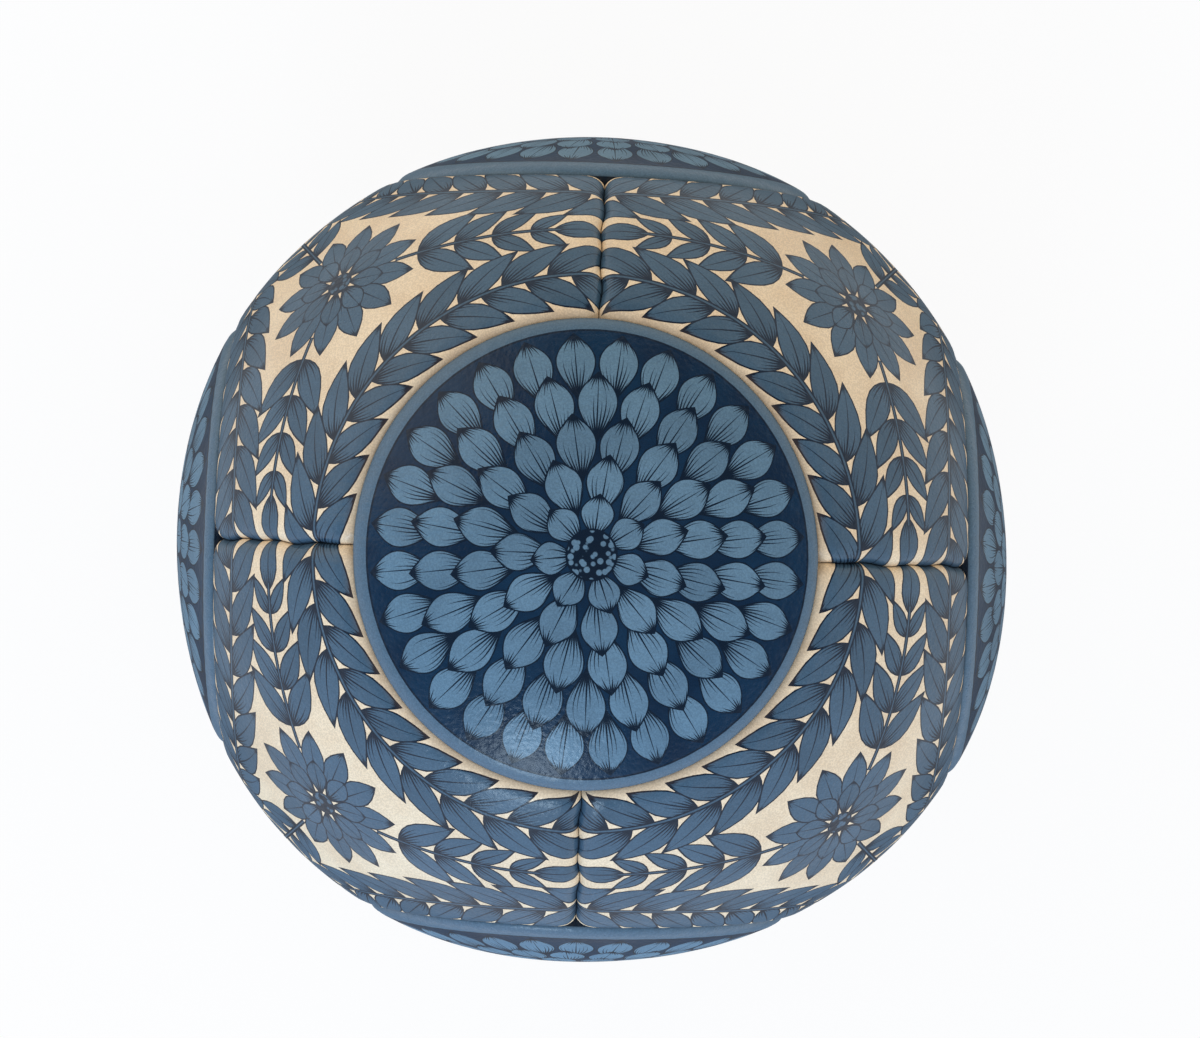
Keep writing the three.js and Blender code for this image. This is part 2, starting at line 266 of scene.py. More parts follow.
class Wreath:
    """Motif coordinates round a cap: length along a ring outside its seam, and distance from the ring."""

    def __init__(self, sheet, axis, ring):
        self.sheet = sheet
        self.axes = np.roll(np.eye(3), 2 - axis, axis=0)
        self.ring = ring
        self.ring_radius = BALL_RADIUS * math.sin(CAP_ANGLE + ring / BALL_RADIUS)
        self.quarter = self.ring_radius * math.pi / 2

    def to_sheet(self, points):
        turn = points[:, 0] / self.ring_radius
        angle = CAP_ANGLE + (self.ring + points[:, 1]) / BALL_RADIUS
        local = np.column_stack((np.sin(angle) * np.cos(turn), np.sin(angle) * np.sin(turn), np.cos(angle)))
        return self.sheet.from_ball(local @ self.axes)

    def from_sheet(self, flat):
        local = self.sheet.on_ball(flat) @ self.axes.T
        turn = np.arctan2(local[:, 1], local[:, 0])
        angle = np.arccos(np.clip(local[:, 2], -1, 1))
        return np.column_stack((turn * self.ring_radius, (angle - CAP_ANGLE) * BALL_RADIUS - self.ring))


CAP_SHEET = Sheet((1, 0, 0), (0, 1, 0), (0, 0, 1))
octant_middle = np.ones(3) / math.sqrt(3)
octant_up = np.array((-1, -1, 2)) / math.sqrt(6)
CORNER_SHEET = Sheet(np.cross(octant_up, octant_middle), octant_up, octant_middle)


# The print: leaves, petals, stems and discs

class Motif:
    """One printed shape: where it lies in its coordinates, and how its ink is drawn."""

    def __init__(
        self, chart, start, heading, length, half_width, peak=LEAF_PEAK, kind=LEAF, reach=None, bend=0.0
    ):
        self.chart = chart
        self.start = np.array(start, float)
        self.heading = heading
        self.length = length
        self.half_width = half_width
        self.peak = peak
        self.kind = kind
        self.reach = HATCH_SHARE * length if reach is None else reach
        self.bend = bend
        self.tone = draws.random()

    def outline(self):
        """The shape's edge on the sheet."""
        if self.kind == DISC:
            return self.chart.to_sheet(self.start + circle(self.half_width, DISC_STEPS))
        if self.kind == STEM:
            share = np.linspace(0, 1, max(3, round(self.length / STEM_STEP)))
            width = np.full_like(share, self.half_width)
        else:
            share = (1 - np.cos(np.linspace(0, math.pi, LEAF_STEPS))) / 2
            width = self.half_width * np.sin(math.pi * share**self.peak)
        half = np.column_stack((share * self.length, width))
        other = half[::-1] * (1, -1)
        if self.kind != STEM:
            other = other[1:-1]  # both halves of a leaf share its two ends
        local = np.concatenate((half, other))
        local[:, 1] += self.sideways(local[:, 0])
        return self.chart.to_sheet(self.start + local @ turning(self.heading))

    def sideways(self, along):
        return self.bend * (along / self.length) ** 2

    def measure(self, flat):
        """Distance along and across the shape, for points on the sheet."""
        local = self.chart.from_sheet(flat) - self.start
        if self.kind == DISC:
            return np.column_stack((np.zeros(len(local)), np.hypot(*local.T)))
        local = local @ turning(-self.heading)
        local[:, 1] -= self.sideways(local[:, 0])
        return local


def wreath_motifs(axis):
    """A laurel branch along a cap's seam: leaves in pairs on a stem."""
    chart = Wreath(CORNER_SHEET, axis, WREATH_RING)
    first_start = LEAST_SCRAP - WREATH_LEAF * math.cos(WREATH_LEAF_ANGLE)
    last_start = chart.quarter - LEAST_SCRAP
    motifs = []
    for pair in range(-2, math.ceil(chart.quarter / WREATH_PITCH) + 1):
        for side in (1, -1):
            start = (pair + WREATH_STAGGER * side) * WREATH_PITCH
            if first_start < start < last_start:
                heading = side * WREATH_LEAF_ANGLE
                sizes = WREATH_LEAF, WREATH_LEAF_HALF_WIDTH
                motifs.append(Motif(chart, (start, 0), heading, *sizes, bend=-side * WREATH_LEAF_BEND))
    past = WREATH_STEM_PAST * chart.quarter
    run = chart.quarter + 2 * past
    motifs.append(Motif(chart, (-past, 0), 0, run, WREATH_STEM_HALF_WIDTH, kind=STEM, reach=NO_HATCH))
    return motifs


def sprig_motifs(bearing):
    """A leafy twig from the middle of a corner panel towards one of its straight seams."""
    flat = Flat()
    out = np.array((math.cos(bearing), math.sin(bearing)))
    motifs = []
    for pair in range(SPRIG_PAIRS):
        start = out * (SPRIG_START + pair * SPRIG_PITCH)
        length = SPRIG_LEAF - SPRIG_LEAF_SHRINK * pair
        for side in (1, -1):
            heading = bearing + side * SPRIG_LEAF_ANGLE
            bend = -side * SPRIG_LEAF_BEND
            motifs.append(Motif(flat, start, heading, length, SPRIG_LEAF_SLIMNESS * length, bend=bend))
    tip = SPRIG_START + SPRIG_PAIRS * SPRIG_PITCH - SPRIG_TIP_BACK
    motifs.append(Motif(flat, out * tip, bearing, SPRIG_TIP, SPRIG_TIP_HALF_WIDTH))
    start = out * SPRIG_STEM_START
    run = tip + SPRIG_STEM_LAP - SPRIG_STEM_START
    motifs.append(Motif(flat, start, bearing, run, SPRIG_STEM_HALF_WIDTH, kind=STEM, reach=NO_HATCH))
    return motifs


def flower_motifs(rings, disc_radius, hatch_share, first_turned):
    """Rings of petals round the sheet's middle, from the outer one in, and a disc of seeds.

    Every second ring is turned by half a petal, beginning with the one of the given number.
    """
    flat = Flat()
    motifs = []
    for order, (count, base, length, half_width) in enumerate(rings):
        turn = 0.5 if order % 2 == first_turned else 0
        for petal in range(count):
            heading = 2 * math.pi * (petal + turn) / count
            start = (base * math.cos(heading), base * math.sin(heading))
            reach = hatch_share * length
            motifs.append(Motif(flat, start, heading, length, half_width, PETAL_PEAK, reach=reach))
    motifs.append(Motif(flat, (0, 0), 0, 1, disc_radius, kind=DISC, reach=NO_HATCH))
    return motifs


def corner_print():
    """Sprigs towards the straight seams, branches along the round ones and a flower between."""
    motifs = []
    for third in range(3):
        motifs += sprig_motifs(math.radians(30 + 120 * third))
    for axis in range(3):
        motifs += wreath_motifs(axis)
    return motifs + flower_motifs(CORNER_FLOWER, CORNER_FLOWER_DISC, HATCH_SHARE, first_turned=0)


def cap_print():
    """A many-petalled flower that fills a cap inside its plain rim."""
    return flower_motifs(CAP_FLOWER, CAP_FLOWER_DISC, CAP_HATCH_SHARE, first_turned=1)


# Panel outlines

def cap_ring(offset):
    """A ring on a cap's sheet, at a distance inside its seam."""
    return circle(CAP_ARC_RADIUS - offset, 4 * ARC_STEPS)


def corner_ring(offset):
    """A ring on a corner panel's sheet, at a distance inside its three straight and three round seams."""
    side = math.sin(offset / BALL_RADIUS)
    cap_reach = math.cos(CAP_ANGLE + offset / BALL_RADIUS)
    along = math.sqrt(1 - cap_reach**2 - side**2)
    start = math.atan2(along, cap_reach)
    turn = np.linspace(start, math.pi / 2 - start, STRAIGHT_STEPS, endpoint=False)
    level = math.sqrt(1 - side**2)
    straight = np.column_stack((level * np.cos(turn), level * np.sin(turn), np.full_like(turn, side)))
    start = math.atan2(side, along)
    turn = np.linspace(start, math.pi / 2 - start, ARC_STEPS, endpoint=False)
    spread = math.hypot(side, along)
    arc = np.column_stack((spread * np.cos(turn), np.full_like(turn, cap_reach), spread * np.sin(turn)))
    third = np.concatenate((straight, arc))
    return CORNER_SHEET.from_ball(np.concatenate([np.roll(third, turned, axis=1) for turned in range(3)]))


# Form of the leather

def cap_seams(directions):
    """A cap's seams and the ends of the straight seams beside it.

    A seam gives the distance from it, the pucker's phase along it and its share of the valley's depth.
    An end gives the distance from it.
    """
    angle = np.arccos(np.clip(directions[:, 2], -1, 1))
    turn = np.arctan2(directions[:, 1], directions[:, 0])
    distance = (CAP_ANGLE - angle) * BALL_RADIUS
    quarter = math.pi / 2
    past_end = (turn - quarter * np.round(turn / quarter)) * BALL_RADIUS * math.sin(CAP_ANGLE)
    return [(distance, turn * CAP_PUCKERS, 0)], [np.hypot(distance, past_end)]


def round_axes(directions):
    """For each axis, the angles from it and from the plane across it, and the bearing round it."""
    for axis in range(3):
        out, first, second = np.roll(directions, -axis, axis=1).T
        angle = np.arccos(np.clip(out, -1, 1))
        yield angle, math.pi / 2 - angle, np.arctan2(second, first)


def corner_seams(directions):
    """The same for a corner panel's six seams and six corners."""
    rounds = []
    straights = []
    for from_axis, from_plane, turn in round_axes(directions):
        rounds.append(((from_axis - CAP_ANGLE) * BALL_RADIUS, turn * CAP_PUCKERS, 0))
        straights.append((from_plane * BALL_RADIUS, turn * STRAIGHT_PUCKERS, 1))
    ends = [np.hypot(rounds[i][0], straights[j][0]) for i in range(3) for j in range(3) if i != j]
    return rounds + straights, ends


def unit(rows):
    return rows / np.linalg.norm(rows, axis=1)[:, None]


def smooth(share):
    share = np.clip(share, 0, 1)
    return share * share * (3 - 2 * share)


def rolled(distance, width=EDGE_ROLL):
    """Share of the height from the seam to the crown, at a distance from the seam."""
    rest = np.clip(1 - distance / width, 0, 1)
    return np.sqrt(1 - rest * rest)


def unevenness(points):
    """Slow hills and hollows of hand-sewn leather, from -1 to 1 over the ball."""
    waves = [np.sin(UNEVEN_FINENESS * points @ np.array(way) + phase) for *way, phase in UNEVEN_WAVES]
    return sum(waves) / len(waves)


def strayed(directions):
    """Directions moved across the straight seams near them, because hand-sewn seams aren't straight."""
    from_cap = (np.arccos(np.clip(np.abs(directions).max(axis=1), -1, 1)) - CAP_ANGLE) * BALL_RADIUS
    moved = directions.copy()
    for axis, (_, from_plane, turn) in enumerate(round_axes(directions)):
        waves = [np.sin(turn * BALL_RADIUS / length + axis) for length in SEAM_WANDER_LENGTHS]
        near = np.exp(-((from_plane * BALL_RADIUS / SEAM_WANDER_REACH) ** 2))
        step = SEAM_WANDER / BALL_RADIUS * sum(waves) / len(waves)
        moved[:, axis] += step * near * smooth(from_cap / SEAM_WANDER_REACH)
    return unit(moved)


def as_sewn(directions):
    """Strayed directions, moved along the ball near the top cap's seam, which isn't quite in its place."""
    x, y, z = strayed(directions).T
    angle = np.arccos(np.clip(z, -1, 1))
    side = np.maximum(np.hypot(x, y), WELD)
    across, up = x / side, y / side
    near = np.exp(-(((angle - CAP_ANGLE) * BALL_RADIUS / TOP_SEAM_REACH) ** 2))
    slip = TOP_SEAM_SHIFT[0] * across + TOP_SEAM_SHIFT[1] * up + TOP_SEAM_GROWTH * up**2
    angle += slip * near / BALL_RADIUS
    return np.column_stack((np.sin(angle) * across, np.sin(angle) * up, np.cos(angle)))


class Panel:
    """A leather panel: how it is turned or mirrored on the ball, and its form over the flat sheet."""

    def __init__(self, axes, hole=0.0):
        self.axes = axes
        self.hole = hole
        self.mirrored = np.linalg.det(axes) < 0

    def directions(self, flat):
        return self.sheet.on_ball(flat) @ self.axes

    def outer(self, flat):
        """Points of the finished side."""
        local = self.sheet.on_ball(flat)
        turned = local @ self.axes
        seams, ends = self.seams(local)
        height, inland = np.ones((2, len(flat)))
        pucker, valley = np.zeros((2, len(flat)))
        for distance, phase, depth_share in seams:
            height *= rolled(distance, self.roll)
            inland *= smooth(distance / self.swell_reach)
            pucker += np.exp(-(distance / PUCKER_REACH) ** 2) * np.cos(phase)
            valley += depth_share * (1 - rolled(distance, VALLEY_ROLL))
        pit = sum(np.exp(-(distance / PIT_RADIUS) ** 2) for distance in ends)
        bearing = np.arctan2(turned[:, 1], turned[:, 0])
        lobes = sum(size * np.cos(count * (bearing - toward)) for count, size, toward in OUT_OF_ROUND)
        oval = lobes * (1 - turned[:, 2] ** 2)
        full = self.shoulder + (self.crown - self.shoulder) * inland
        loose = PUCKER_HEIGHT * pucker + UNEVENNESS * unevenness(turned)
        radius = self.edge + oval + (full - self.edge + loose) * height
        radius -= VALLEY_DEPTH * valley + self.pit * np.minimum(pit, 1)
        radius = np.maximum(radius, PIT_FLOOR)
        if self.hole:
            radius -= HOLE_DROP * (1 - rolled(np.hypot(*flat.T) - self.hole, HOLE_ROLL))
        return as_sewn(turned) * radius[:, None]

    def inner(self, flat):
        """Points of the raw side, over the lining."""
        local = self.sheet.on_ball(flat)
        seams, _ = self.seams(local)
        height = np.prod([rolled(seam[0]) for seam in seams], axis=0)
        radius = SEAM_RADIUS + (self.crown - SEAM_RADIUS) * height - SKIN_THICKNESS
        return local @ self.axes * radius[:, None]

    def normals(self, flat):
        steps = NORMAL_STEP * np.eye(2)
        normals = np.cross(*[self.outer(flat + step) - self.outer(flat - step) for step in steps])
        return unit(-normals if self.mirrored else normals)


class CapPanel(Panel):
    sheet = CAP_SHEET
    seams = staticmethod(cap_seams)
    crown = CAP_CROWN
    shoulder = CAP_SHOULDER
    edge = CAP_EDGE
    roll = CAP_EDGE_ROLL
    swell_reach = CAP_DIP_REACH
    pit = 0.0

    def edge_distances(self, flat, in_print):
        """Distance from the seam, and from the outer edge of the printed rim."""
        return [CAP_ARC_RADIUS - np.hypot(*points.T) for points in (flat, in_print)]


class CornerPanel(Panel):
    sheet = CORNER_SHEET
    seams = staticmethod(corner_seams)
    crown = CORNER_CROWN
    shoulder = CORNER_SHOULDER
    edge = SEAM_RADIUS
    roll = EDGE_ROLL
    swell_reach = CORNER_SWELL_REACH
    pit = PIT_DEPTH

    def edge_distances(self, flat, in_print):
        """Distance from the nearest seam, and from the nearest round one, wherever the print lies."""
        seams, _ = self.seams(self.sheet.on_ball(flat))
        rounds = [distance for distance, _, depth_share in seams if not depth_share]
        return [np.min([seam[0] for seam in seams], axis=0), np.min(rounds, axis=0)]


# Meshes of the leather

def grid_points(ring, pitch, hole):
    """Points in staggered rows inside a ring, clear of it and of a hole in its middle."""
    reach = np.abs(ring).max()
    columns = np.arange(-reach, reach, pitch)
    rows = np.arange(-reach, reach, pitch * math.sqrt(3) / 2)
    points = np.array([(x + order % 2 * pitch / 2, y) for order, y in enumerate(rows) for x in columns])
    bearings, ring_bearings = (np.arctan2(*places.T[::-1]) for places in (points, ring))
    away, ring_away = (np.hypot(*places.T) for places in (points, ring))
    inside = away < np.interp(bearings, ring_bearings, ring_away, period=2 * math.pi)
    clear = np.linalg.norm(points[:, None] - ring, axis=2).min(axis=1) > pitch / 2
    return points[inside & clear & (away >= hole)]


def counterclockwise(polygon):
    x, y = polygon.T
    area = (x * np.roll(y, -1) - np.roll(x, -1) * y).sum()
    return polygon if area > 0 else polygon[::-1]


def triangulate(outline, rings, loose, polygons, hole=None):
    """Triangles inside an outline, cut along rings and polygons.

    Gives the points, the triangles and the number of the topmost polygon on each triangle, or -1.
    """
    points = [outline]
    edges = []
    faces = [list(range(len(outline)))]
    count = len(outline)
    for ring in rings:
        edges += [(count + i, count + (i + 1) % len(ring)) for i in range(len(ring))]
        points.append(ring)
        count += len(ring)
    for polygon in list(polygons) + ([hole] if hole is not None else []):
        faces.append(list(range(count, count + len(polygon))))
        points.append(counterclockwise(polygon))
        count += len(polygon)
    points.append(loose)
    corners = [Vector(p) for p in np.concatenate(points)]
    made, _, triangles, _, _, sources = delaunay_2d_cdt(corners, edges, faces, 0, WELD, True)
    hole_face = len(faces) - 1 if hole is not None else -1
    kept = [i for i, source in enumerate(sources) if 0 in source and hole_face not in source]
    flat = np.array([p[:2] for p in made], float)
    triangles = np.array([triangles[i] for i in kept])
    top = np.array([max(sources[i]) - 1 for i in kept])
    a, b, c = (flat[triangles[:, k]] for k in range(3))
    turned = (b - a)[:, 0] * (c - a)[:, 1] - (b - a)[:, 1] * (c - a)[:, 0] < 0
    triangles[turned] = triangles[turned][:, ::-1]
    used, triangles = np.unique(triangles, return_inverse=True)
    return flat[used], triangles.reshape(-1, 3), top


def border_loops(triangles):
    """Loops of points round the open edges of a sheet of triangles, longest first."""
    edges = {(t[i], t[(i + 1) % 3]) for t in triangles.tolist() for i in range(3)}
    follows = {a: b for a, b in edges if (b, a) not in edges}
    loops = []
    while follows:
        start, point = follows.popitem()
        loop = [start]
        while point != start:
            loop.append(point)
            point = follows.pop(point)
        loops.append(np.array(loop))
    return sorted(loops, key=len, reverse=True)


def carry_over(points, ring, inner_ring):
    """Moves points that lie on one ring to the like places on another ring of as many steps."""
    ahead = np.roll(ring, -1, axis=0) - ring
    inner_ahead = np.roll(inner_ring, -1, axis=0) - inner_ring
    share = np.einsum("pri,ri->pr", points[:, None] - ring[None], ahead) / (ahead**2).sum(1)
    share = np.clip(share, 0, 1)
    away = np.linalg.norm(ring[None] + share[..., None] * ahead[None] - points[:, None], axis=2)
    step = away.argmin(1)
    share = share[np.arange(len(points)), step]
    return inner_ring[step] + share[:, None] * inner_ahead[step]


def wall(points, first, second):
    """Triangles between two loops of as many points, split along the shorter diagonal of each step."""
    ahead_first = np.roll(first, -1)
    ahead_second = np.roll(second, -1)
    onward = np.linalg.norm(points[first] - points[ahead_second], axis=1)
    backward = np.linalg.norm(points[second] - points[ahead_first], axis=1)
    goes_on = onward < backward
    lower = np.column_stack((first, second, np.where(goes_on, ahead_second, ahead_first)))
    upper = np.column_stack((np.where(goes_on, first, second), ahead_second, ahead_first))
    return np.concatenate((lower, upper))


class Cut:
    """The flat cut of a panel with its print, which lies a little off its place."""

    def __init__(self, ring_at, motifs, turn_spread, hole=0.0):
        self.turn = draws.normal(0, turn_spread)
        self.shift = draws.normal(0, PRINT_SHIFT, 2)
        self.motifs = motifs
        outline = ring_at(FLANGE_OUTSIDE)
        rings = [ring_at(offset) for offset in RING_OFFSETS]
        loose = grid_points(rings[-1], GRID_PITCH, hole and hole + HOLE_ROLL)
        hole_rim = None
        if hole:
            hole_rim = circle(hole, HOLE_STEPS)
            rings += [hole_rim * (1 + offset / hole) for offset in HOLE_RING_OFFSETS]
        polygons = [motif.outline() @ turning(self.turn) + self.shift for motif in motifs]
        self.face, self.triangles, self.top = triangulate(outline, rings, loose, polygons, hole_rim)
        self.loops = border_loops(self.triangles)

        self.back_outline = carry_over(self.face[self.loops[0]], outline, ring_at(FLANGE_INSIDE))
        ring = ring_at(EDGE_ROLL)
        loose = grid_points(ring, BACK_GRID_PITCH, hole and hole + HOLE_MARGIN)
        hole_rim = self.face[self.loops[1]][::-1] if hole else None
        self.back, self.back_triangles, _ = triangulate(self.back_outline, [ring], loose, [], hole_rim)

    def layers(self, panel):
        """What the leather's shader reads at each corner of each triangle of the face."""
        corners = self.face[self.triangles]
        shape = corners.shape
        in_print = (corners - self.shift) @ turning(-self.turn)
        layers = {name: np.zeros(shape) for name in ("motif", "size", "ink", "kind", "edge")}
        for number, motif in enumerate(self.motifs):
            here = self.top == number
            layers["motif"][here] = motif.measure(in_print[here].reshape(-1, 2)).reshape(-1, 3, 2)
            layers["size"][here] = motif.length, motif.half_width
            layers["ink"][here] = motif.reach, motif.tone
            layers["kind"][here] = motif.kind, motif.peak
        edges = panel.edge_distances(corners.reshape(-1, 2), in_print.reshape(-1, 2))
        layers["edge"][:] = np.column_stack(edges).reshape(shape)
        return layers


def nearest(points, places):
    """Number of the place nearest to each point."""
    return np.array([((places - p) ** 2).sum(1).argmin() for p in points])


def add_object(name, data):
    made = bpy.data.objects.new(name, data)
    bpy.context.scene.collection.objects.link(made)
    return made


def add_layers(mesh, panel, cut):
    """Stores what the leather's shader reads. There is no print past the face."""
    for name, values in cut.layers(panel).items():
        if panel.mirrored:
            values = values[:, ::-1]
        rest = np.full((len(mesh.polygons) - len(values), 3, 2), PAST_SEAM if name == "edge" else 0)
        layer = mesh.uv_layers.new(name=name, do_init=False)
        layer.uv.foreach_set("vector", np.concatenate((values, rest)).astype(np.float32).ravel())


def panel_object(name, panel, cut, materials):
    """A closed leather panel: finished face, rolled edge, turned-in flange and raw back."""
    loop = cut.loops[0]
    foot = panel.directions(cut.face[loop]) * FLANGE_FOOT
    inner_foot = panel.directions(cut.back_outline) * FLANGE_FOOT
    parts = [panel.outer(cut.face), foot, inner_foot, panel.inner(cut.back)]
    points = np.concatenate(parts)
    starts = np.cumsum([0] + [len(part) for part in parts])
    foot_loop = starts[1] + np.arange(len(loop))
    inner_loop = starts[2] + np.arange(len(loop))
    back_loop = starts[3] + nearest(cut.back_outline, cut.back)
    faces = [
        cut.triangles,
        wall(points, loop, foot_loop),
        wall(points, foot_loop, inner_loop),
        wall(points, inner_loop, back_loop),
        starts[3] + cut.back_triangles[:, ::-1],
    ]
    if panel.hole:
        hole_loop = cut.loops[1]
        faces.append(wall(points, hole_loop, starts[3] + nearest(cut.face[hole_loop], cut.back)))
    triangles = np.concatenate(faces)
    if panel.mirrored:
        triangles = triangles[:, ::-1]
    mesh = bpy.data.meshes.new(name)
    mesh.from_pydata((points * MM).tolist(), [], triangles.tolist())
    add_layers(mesh, panel, cut)
    for material in materials:
        mesh.materials.append(material)
    slots = np.zeros(len(triangles), np.int32)
    slots[len(faces[0]) + len(faces[1]):] = 1
    mesh.polygons.foreach_set("material_index", slots)
    sideways = unit(foot - inner_foot)
    normals = [panel.normals(cut.face), sideways, -sideways, -panel.directions(cut.back)]
    mesh.shade_smooth()
    mesh.normals_split_custom_set_from_vertices(np.concatenate(normals).tolist())
    return add_object(name, mesh)


# Materials

def srgb(red, green, blue):
    """A colour written as 0 to 255, as the linear values that a shader takes."""
    shares = np.array((red, green, blue)) / 255
    linear = np.where(shares <= 0.04045, shares / 12.92, ((shares + 0.055) / 1.055) ** 2.4)
    return (*linear.tolist(), 1.0)


class Value:
    """A number that nodes work out at each point, so that formulas read as formulas."""

    def __init__(self, nodes, socket):
        self.nodes = nodes
        self.socket = socket

    def math(self, operation, *others):
        return self.nodes.math(operation, self, *others)

    def __rsub__(self, other):
        return self.nodes.math("SUBTRACT", other, self)

    __add__ = __radd__ = partialmethod(math, "ADD")
    __mul__ = __rmul__ = partialmethod(math, "MULTIPLY")
    __sub__ = partialmethod(math, "SUBTRACT")
    __truediv__ = partialmethod(math, "DIVIDE")
    __pow__ = partialmethod(math, "POWER")
    __abs__ = partialmethod(math, "ABSOLUTE")
    at_least = partialmethod(math, "MAXIMUM")
    at_most = partialmethod(math, "MINIMUM")
    whole = partialmethod(math, "ROUND")
    sine = partialmethod(math, "SINE")


class Nodes:
    """The nodes of a material or a world."""

    def __init__(self, owner):
        owner.use_nodes = True
        self.tree = owner.node_tree
        self.tree.nodes.clear()

    def node(self, kind, inputs=None, **settings):
        made = self.tree.nodes.new(kind)
        for name, value in settings.items():
            setattr(made, name, value)
        for name, value in (inputs or {}).items():
            self.feed(made.inputs[name], value)
        return made

    def feed(self, socket, value):
        if isinstance(value, Value):
            value = value.socket
        if isinstance(value, bpy.types.NodeSocket):
            self.tree.links.new(value, socket)
        else:
            socket.default_value = value

    def math(self, operation, *values):
        made = self.node("ShaderNodeMath", dict(enumerate(values)), operation=operation)
        return Value(self, made.outputs[0])

    def parts(self, vector):
        """The X, Y and Z numbers of a vector."""
        split = self.node("ShaderNodeSeparateXYZ", {"Vector": vector})
        return [Value(self, split.outputs[axis]) for axis in "XYZ"]

    def toward(self, vector, direction):
        """How far a vector reaches in a direction."""
        made = self.node("ShaderNodeVectorMath", {0: vector, 1: direction}, operation="DOT_PRODUCT")
        return made.outputs["Value"]

    def scaled(self, value, interpolation="LINEAR", **limits):
        """A number carried from one range to another. The limits are written with _ for a space."""
        inputs = {name.replace("_", " "): limit for name, limit in limits.items()}
        made = self.node("ShaderNodeMapRange", {"Value": value, **inputs}, interpolation_type=interpolation)
        return Value(self, made.outputs["Result"])

    def blend(self, share, first, second):
        """A colour between two, by a share from 0 to 1."""
        made = self.node("ShaderNodeMix", {0: share, 6: first, 7: second}, data_type="RGBA")
        return made.outputs[2]


class Shader(Nodes):
    """A material with one principled surface."""

    def __init__(self, name):
        self.material = bpy.data.materials.new(name)
        super().__init__(self.material)
        self.surface = self.node("ShaderNodeBsdfPrincipled")
        self.node("ShaderNodeOutputMaterial", {"Surface": self.surface.outputs["BSDF"]})

    def set(self, **sockets):
        """Sets the surface's sockets, written with _ for a space."""
        for name, value in sockets.items():
            self.feed(self.surface.inputs[name.replace("_", " ")], value)

    def pair(self, layer):
        """Both numbers that a mesh layer holds."""
        read = self.node("ShaderNodeUVMap", uv_map=layer)
        return self.parts(read.outputs["UV"])[:2]

    def place(self):
        """Where a point is on the object, in millimetres."""
        coordinates = self.node("ShaderNodeTexCoord")
        inputs = {"Vector": coordinates.outputs["Object"], "Scale": 1 / MM}
        return self.node("ShaderNodeVectorMath", inputs, operation="SCALE").outputs["Vector"]

    def noise(self, place, size, detail):
        """Cloudy values round 0.5, with lumps of a size in millimetres."""
        inputs = {"Vector": place, "Scale": 1 / size, "Detail": detail}
        return Value(self, self.node("ShaderNodeTexNoise", inputs).outputs[0])

    def cells(self, place, size, feature):
        """Distance from the nearest of many scattered points, as a share of their spacing."""
        made = self.node("ShaderNodeTexVoronoi", {"Vector": place, "Scale": 1 / size}, feature=feature)
        return Value(self, made.outputs["Distance"])

    def chance(self, first, second, third):
        """A steady random number from three numbers."""
        joined = self.node("ShaderNodeCombineXYZ", {"X": first, "Y": second, "Z": third})
        inputs = {"Vector": joined.outputs["Vector"]}
        made = self.node("ShaderNodeTexWhiteNoise", inputs, noise_dimensions="3D")
        return Value(self, made.outputs["Value"])

    def ramp(self, value, low, high):
        """0 below one limit and 1 above the other, smooth between. The limits may be in either order."""
        return self.scaled(value, "SMOOTHSTEP", From_Min=low, From_Max=high)

    def bump(self, height, depth):
        """Relief of the surface: height from 0 to 1 over a depth in millimetres."""
        made = self.node("ShaderNodeBump", {"Height": height, "Distance": depth * MM, "Strength": 1.0})
        self.set(Normal=made.outputs["Normal"])

    def plain(self, share, dark, light, height, depth, roughness):
        """The material with two colours mixed by a share, and with relief."""
        self.bump(height, depth)
        self.set(Base_Color=self.blend(share, dark, light), Roughness=roughness)
        return self.material


# Colours of the leather, the clouded ones from dark to light
CREAM = srgb(239, 214, 178), srgb(249, 227, 192)
CORNER_SLATE = srgb(63, 90, 110), srgb(73, 101, 122)
CAP_SLATE = srgb(90, 121, 142), srgb(103, 137, 159)
NAVY = srgb(7, 39, 65), srgb(10, 49, 77)
RIM_SLATE = srgb(84, 111, 131)
INK = srgb(10, 31, 50)
# colour of the painted shadow that a cap's overhanging edge casts on the corner panels
PAINTED_SEAM_SHADOW = srgb(112, 88, 64)

# Drawing of the print
OUTLINE_WIDTH = 0.48
RIB_HALF_WIDTH = 0.3
LINE_BLUR = 0.07
LEAST_LENGTH = 0.1  # stands for the length where nothing is printed
KIND_BLUR = (-0.6, -0.4)  # limits under a kind's number, between which it begins
RIM_WIDTH = 4.1
RIM_LINE_WIDTH = 0.5
SEED_SIZE = 1.7
SEED_GAP = (0.36, 0.5)  # from a seed's edge to the ink between seeds, as shares of their spacing
HATCH_PITCH = 1.0
HATCH_HALF_WIDTH = 0.25
HATCH_NARROWEST = 0.25  # width of a shape under which its lines run no closer together
HATCH_SHORTEST = 0.45  # share of the reach that every line has, and luck adds the rest
HATCH_TAPER = 1.6
HATCH_END = 0.04
HATCH_TIP_SHARE = 0.4  # lines at a shape's tip are shorter than those at its foot
HATCH_SEEDS = (3.1, 7.7)
TONE_SPREAD = 91.0  # keeps the luck of shapes with like tones apart
TONE_SHARE = 0.35
TONE_LIMITS = (0.35, 0.95)
